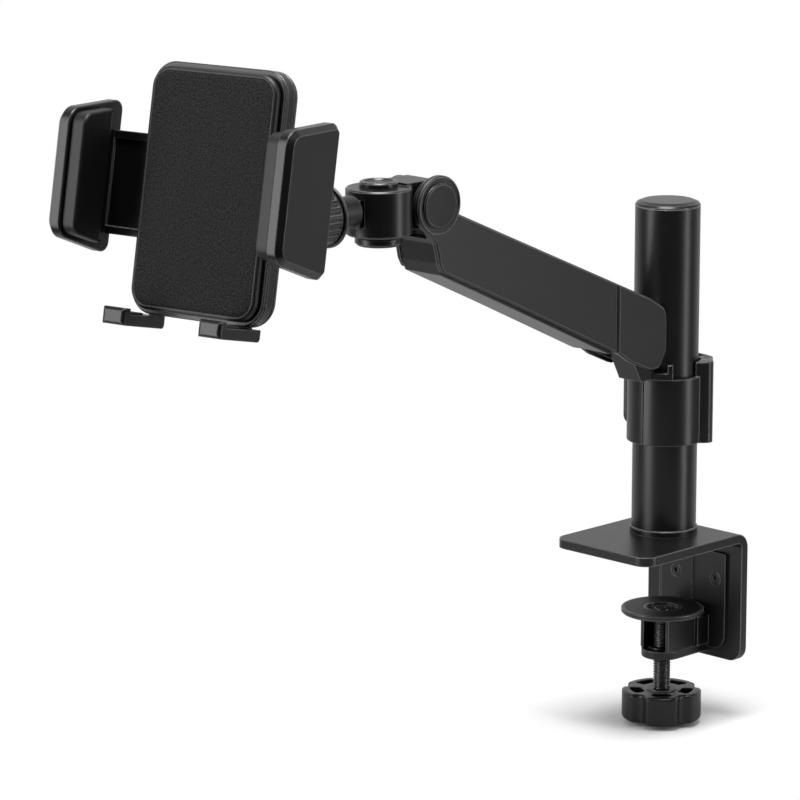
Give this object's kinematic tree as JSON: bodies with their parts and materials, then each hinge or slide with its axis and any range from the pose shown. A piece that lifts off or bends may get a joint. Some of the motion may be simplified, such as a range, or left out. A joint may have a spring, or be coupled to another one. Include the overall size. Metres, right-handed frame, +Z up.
{
  "type": "phone holder arm",
  "caption": "Desk clamp with an upright pole, a sliding collar, a lifting arm and a tilting head that carries a phone cradle with side jaws and feet.",
  "frame": {"origin": "on the pole axis at the desk contact face, the underside of the top clamp plate", "axes": "+Z up along the pole, +X toward the vertical clamp plate, so the arm reaches along -X"},
  "size_m": [0.4222, 0.1437, 0.3947],
  "materials": {
    "powder_black": "satin powder coat",
    "cast_black": "satin paint on a casting",
    "arm_cover": "fine moulded grain",
    "black_steel": "blackened",
    "steel": "plain",
    "brass_insert": "turned",
    "moulded_black": "satin moulded",
    "cradle_black": "satin moulded",
    "nylon": "plain",
    "soft_pad": "woven look, matte",
    "rubber_black": "smooth matte"
  },
  "bodies": {
    "clamp": {"clamp_bracket": "powder_black", "screw_bracket": "cast_black", "bracket_screws": "black_steel", "thread_bush": "brass_insert", "pole": "powder_black", "pole_base_ring": "powder_black", "pole_cap": "moulded_black", "pole_plug": "steel", "pole_bolt": "black_steel"},
    "press": {"pad_disc": "powder_black", "pad_rubber": "rubber_black"},
    "spindle": {"clamp_screw": "black_steel", "tip_screw": "black_steel", "clamp_knob": "moulded_black", "knob_base": "moulded_black"},
    "sleeve": {"collar_liner": "nylon"},
    "collar": {"collar_body": "cast_black", "clamp_jaw": "cast_black", "tie_bolt": "black_steel", "cam_washer": "nylon", "lever_pin": "steel"},
    "quick_lever": {"lever": "cast_black"},
    "arm": {"arm_frame": "cast_black", "side_cover_near": "arm_cover", "side_cover_far": "arm_cover", "rear_cover_near": "arm_cover", "rear_cover_far": "arm_cover", "lift_axle": "black_steel", "lift_nut": "steel", "lift_washers": "nylon", "pitch_axle": "black_steel", "pitch_nut": "steel", "pitch_washers": "nylon", "pivot_cap_near": "moulded_black", "pivot_cap_far": "moulded_black"},
    "head": {"head_block": "cast_black", "swivel_bolt": "black_steel", "swivel_nut": "cast_black", "swivel_cap": "moulded_black"},
    "neck": {"neck": "cast_black", "ball_seat": "nylon"},
    "ring": {"lock_ring": "moulded_black"},
    "cradle": {"ball_stalk": "cradle_black", "rear_shell": "cradle_black", "housing": "cradle_black", "front_plate": "cradle_black", "face_pad": "soft_pad", "pinion_pin": "steel", "holder_screws": "black_steel"},
    "gear": {"pinion": "nylon"},
    "jaw_left": {"rail_left": "cradle_black", "jaw_left_shell": "cradle_black", "jaw_left_pad": "rubber_black"},
    "jaw_right": {"rail_right": "cradle_black", "jaw_right_shell": "cradle_black", "jaw_right_pad": "rubber_black"},
    "feet": {"foot_bracket": "cradle_black", "foot_pads": "rubber_black"}
  },
  "joints": [
    {"name": "press_slide", "type": "slide", "parent": "clamp", "child": "press", "axis": [0, 0, 1], "range_m": [-0.0024, 0.017]},
    {"name": "screw_turn", "type": "hinge", "parent": "press", "child": "spindle", "pos_m": [-0.0022, -0.002, -0.06], "axis": [0, 0, 1], "range_deg": [-580, 4084]},
    {"name": "height_slide", "type": "slide", "parent": "clamp", "child": "sleeve", "axis": [0, 0, 1], "range_m": [-0.046, 0.082]},
    {"name": "collar_swivel", "type": "hinge", "parent": "sleeve", "child": "collar", "pos_m": [0, 0, 0.074], "axis": [0, 0, 1], "continuous": true},
    {"name": "lever_turn", "type": "hinge", "parent": "collar", "child": "quick_lever", "pos_m": [0.02239, -0.00891, 0.08], "axis": [0, 0, -1], "range_deg": [0, 90]},
    {"name": "arm_lift", "type": "hinge", "parent": "collar", "child": "arm", "pos_m": [-0.036, 0, 0.126], "axis": [0, 1, 0], "range_deg": [-18, 18]},
    {"name": "head_pitch", "type": "hinge", "parent": "arm", "child": "head", "pos_m": [-0.1902, 0, 0.2087], "axis": [0, 1, 0], "range_deg": [-28, 60]},
    {"name": "neck_swivel", "type": "hinge", "parent": "head", "child": "neck", "pos_m": [-0.2182, 0, 0.2087], "axis": [0, 0, 1], "range_deg": [-75, 0]},
    {"name": "ring_turn", "type": "hinge", "parent": "neck", "child": "ring", "pos_m": [-0.272, 0, 0.21], "axis": [-1, 0, 0], "continuous": true},
    {"name": "cradle_turn", "type": "hinge", "parent": "neck", "child": "cradle", "pos_m": [-0.272, 0, 0.21], "axis": [-0.9664, -0.1704, 0.1925], "continuous": true},
    {"name": "jaw_left_slide", "type": "slide", "parent": "cradle", "child": "jaw_left", "axis": [0.1736, -0.9848, 0], "range_m": [0, 0.02]},
    {"name": "jaw_right_slide", "type": "slide", "parent": "cradle", "child": "jaw_right", "axis": [-0.1736, 0.9848, 0], "range_m": [0, 0.02]},
    {"name": "gear_turn", "type": "hinge", "parent": "cradle", "child": "gear", "pos_m": [-0.34118, -0.0122, 0.23295], "axis": [-0.9664, -0.1704, 0.1925], "range_deg": [-128, 1]},
    {"name": "feet_slide", "type": "slide", "parent": "cradle", "child": "feet", "axis": [-0.1896, -0.0334, -0.9813], "range_m": [0, 0.015]}
  ],
  "couplings": [
    {"joint": "screw_turn", "follows": "press_slide", "rad_per_m": 4188.8},
    {"joint": "jaw_right_slide", "follows": "jaw_left_slide", "ratio": 1},
    {"joint": "gear_turn", "follows": "jaw_left_slide", "rad_per_m": -111.11}
  ]
}
